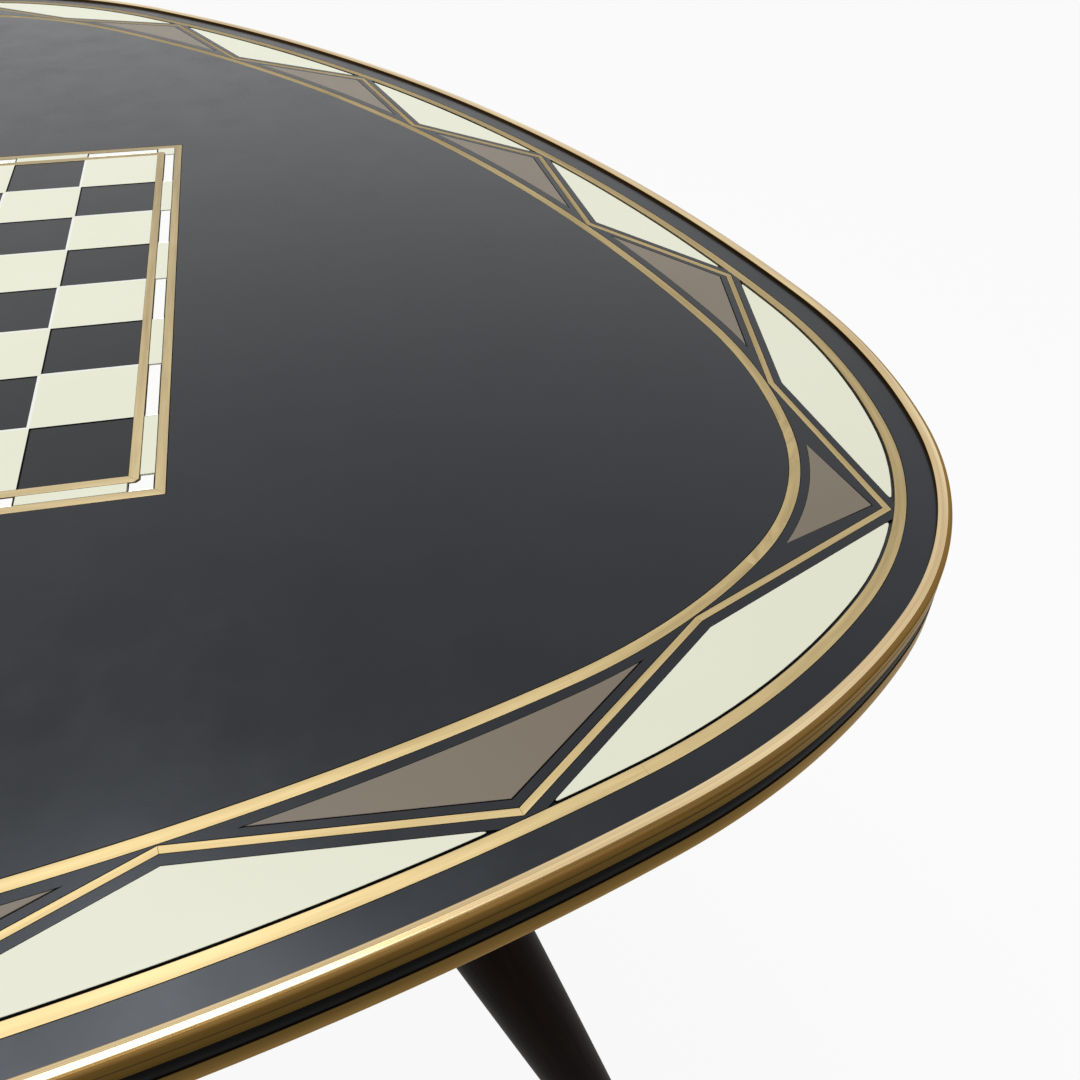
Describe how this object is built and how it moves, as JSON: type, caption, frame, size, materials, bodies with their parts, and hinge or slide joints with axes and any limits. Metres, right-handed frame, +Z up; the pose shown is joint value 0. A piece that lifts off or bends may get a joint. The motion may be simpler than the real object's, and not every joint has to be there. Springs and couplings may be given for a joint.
{
  "type": "chess table",
  "caption": "Low rounded-triangle table on splayed tapered legs, with an inlaid chess board, a zigzag brass and cream border and a grooved brass edge.",
  "frame": {"origin": "on the floor, under the middle of the table's overall box", "axes": "+Z up; +X along the wide side of the top, to the right; +Y from that side's flat run towards the single corner at the back"},
  "size_m": [0.7652, 0.7484, 0.58],
  "materials": {
    "core_wood": "raw plywood core, hidden between the laminates",
    "backing_laminate": "matt dark brown laminate",
    "black_laminate": "satin black laminate",
    "inlay_brass": "satin brass",
    "frame_brass": "lengthwise brushed brass",
    "cream_laminate": "satin cream laminate",
    "taupe_laminate": "satin taupe laminate",
    "mirror_plate": "polished mirror plate",
    "edge_brass": "satin rolled brass profile",
    "insert_plastic": "black vinyl strip",
    "screw_steel": "zinc plated steel",
    "leg_wood": "dark stained beech, satin lacquer",
    "ferrule_brass": "satin brass",
    "glide_plastic": "black nylon"
  },
  "bodies": {
    "root": {"core_board": "core_wood", "backing_sheet": "backing_laminate", "black_top_sheet": "black_laminate", "outer_brass_line": "inlay_brass", "inner_brass_line": "inlay_brass", "zigzag_brass_line": "inlay_brass", "cream_border_inlays": "cream_laminate", "taupe_border_inlays": "taupe_laminate", "board_cream_sheet": "cream_laminate", "board_black_squares": "black_laminate", "board_inner_frame": "frame_brass", "board_outer_frame": "frame_brass", "pattern_cream_plates": "cream_laminate", "pattern_mirror_plates": "mirror_plate", "edge_profile": "edge_brass", "edge_insert": "insert_plastic", "edge_screws": "screw_steel", "insert_nuts": "screw_steel", "hanger_bolts": "screw_steel", "block_screws": "screw_steel", "leg_back": "leg_wood", "leg_block_back": "leg_wood", "ferrule_back": "ferrule_brass", "glide_back": "glide_plastic", "leg_left": "leg_wood", "leg_block_left": "leg_wood", "ferrule_left": "ferrule_brass", "glide_left": "glide_plastic", "leg_right": "leg_wood", "leg_block_right": "leg_wood", "ferrule_right": "ferrule_brass", "glide_right": "glide_plastic"}
  },
  "joints": []
}
